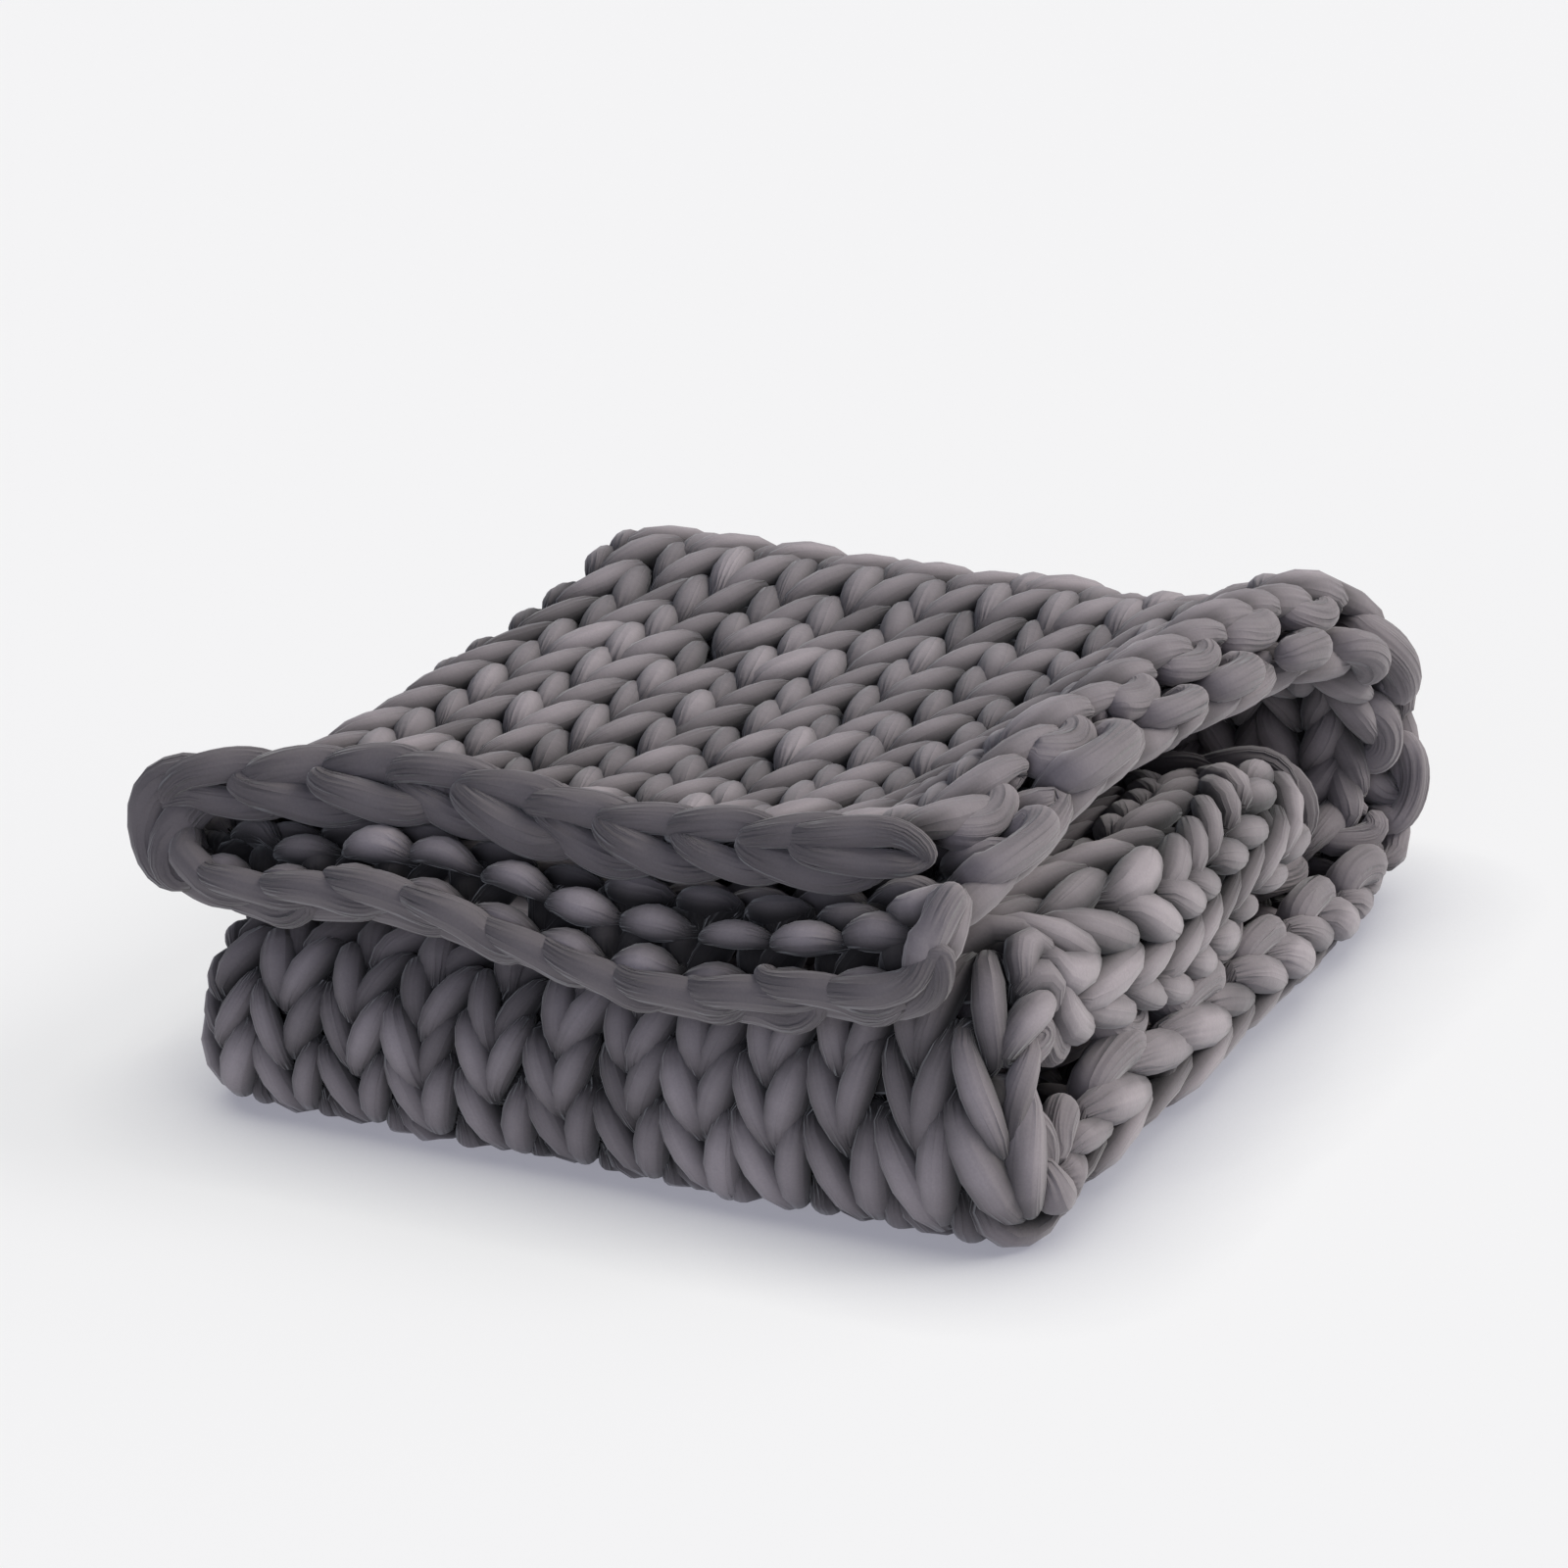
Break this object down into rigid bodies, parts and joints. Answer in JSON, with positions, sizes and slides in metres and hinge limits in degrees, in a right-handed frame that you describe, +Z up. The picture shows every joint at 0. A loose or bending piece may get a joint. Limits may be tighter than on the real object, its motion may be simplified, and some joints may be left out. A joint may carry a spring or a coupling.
{
  "type": "weighted blanket",
  "caption": "Chunky hand-knitted weighted blanket, doubled lengthwise and letter-folded into a thick soft stack with an open flap at the front and a loop at the back.",
  "frame": {"origin": "middle of the footprint, on the surface the folded blanket rests on", "axes": "+Z up; -Y towards the front, where the open flap is; +Y towards the back loop; -X is the lengthwise fold and +X the side with the two selvages"},
  "size_m": [0.5883, 0.7273, 0.2673],
  "materials": {
    "knitted_cotton": "matt, stuffed jersey tube, chunky stocking stitch"
  },
  "bodies": {
    "root": {"blanket": "knitted_cotton"}
  },
  "joints": []
}
